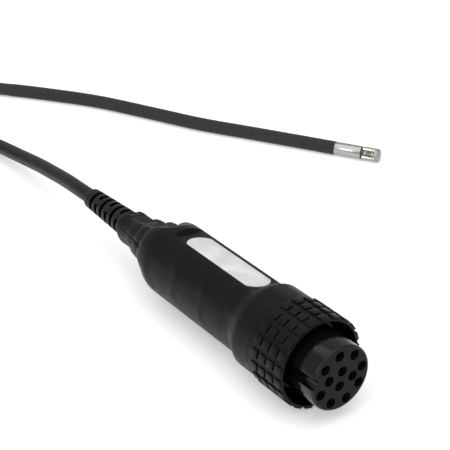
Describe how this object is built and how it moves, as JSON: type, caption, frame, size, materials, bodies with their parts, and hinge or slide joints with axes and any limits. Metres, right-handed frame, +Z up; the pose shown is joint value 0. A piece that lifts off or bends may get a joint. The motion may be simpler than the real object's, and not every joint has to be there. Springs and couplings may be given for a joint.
{
  "type": "inspection camera probe",
  "caption": "Side-view inspection camera head on a flexible cable, with a strain-relieved handle plug, a knurled turning coupling nut and a keyed multi-contact insert.",
  "frame": {"origin": "centre of the plug's contact face, on the plug's axis", "axes": "+X along the plug's axis and out of the contact face, +Z up from the surface that the part lies on"},
  "size_m": [0.324, 0.2006, 0.0312],
  "materials": {
    "insert_black": "glossy black moulded plastic",
    "contact_brass": "plated contact metal",
    "steel": "plain steel",
    "barrel_black": "black coated metal",
    "seal_rubber": "soft black rubber",
    "nut_black": "matt black with raised grip tiles",
    "washer_white": "slippery white plastic",
    "body_black": "fine matt black moulded plastic",
    "label_white": "blank satin white film",
    "circuit_green": "green circuit board",
    "chip_black": "black moulded resin",
    "header_cream": "cream connector plastic",
    "wire_red": "red wire insulation",
    "cable_jacket": "smooth satin black cable jacket",
    "boot_rubber": "matt black flexible rubber",
    "cable_braid": "black woven braid",
    "head_steel": "turned stainless steel",
    "window_glass": "clear glass",
    "led_yellow": "yellow phosphor"
  },
  "bodies": {
    "probe": {"contact_insert": "insert_black", "contact_1": "contact_brass", "contact_2": "contact_brass", "contact_3": "contact_brass", "contact_4": "contact_brass", "contact_5": "contact_brass", "contact_6": "contact_brass", "contact_7": "contact_brass", "contact_8": "contact_brass", "contact_9": "contact_brass", "contact_10": "contact_brass", "contact_11": "contact_brass", "contact_12": "contact_brass", "insert_retainer": "steel", "connector_barrel": "barrel_black", "face_seal": "seal_rubber", "snap_ring": "steel", "thrust_washer": "washer_white", "upper_shell": "body_black", "lower_shell": "body_black", "label_plate": "label_white", "shell_screws": "steel", "contact_board": "circuit_green", "board_header": "chip_black", "main_board": "circuit_green", "image_processor": "chip_black", "memory_chip": "chip_black", "power_inductor": "chip_black", "cable_header": "header_cream", "board_wires": "wire_red", "plug_cable_end": "cable_jacket", "cable_clamp": "steel", "clamp_screws": "steel", "strain_relief_boot": "boot_rubber", "smooth_lead": "cable_jacket", "splice_ferrule": "cable_jacket", "braided_link": "cable_braid", "cable_coil": "cable_braid", "braided_lead": "cable_braid", "head_cable_end": "cable_braid", "crimp_sleeve": "steel", "head_tube": "head_steel", "tip_housing": "head_steel", "window_glass": "window_glass", "led_rear": "led_yellow", "led_front": "led_yellow", "lens_barrel": "chip_black", "objective_lens": "window_glass", "image_sensor": "chip_black", "head_board": "circuit_green", "head_wires": "wire_red"},
    "nut": {"coupling_nut": "nut_black"}
  },
  "joints": [
    {"name": "nut_spin", "type": "hinge", "parent": "probe", "child": "nut", "pos_m": [-0.0247, 0, 0], "axis": [1, 0, 0], "continuous": true}
  ]
}
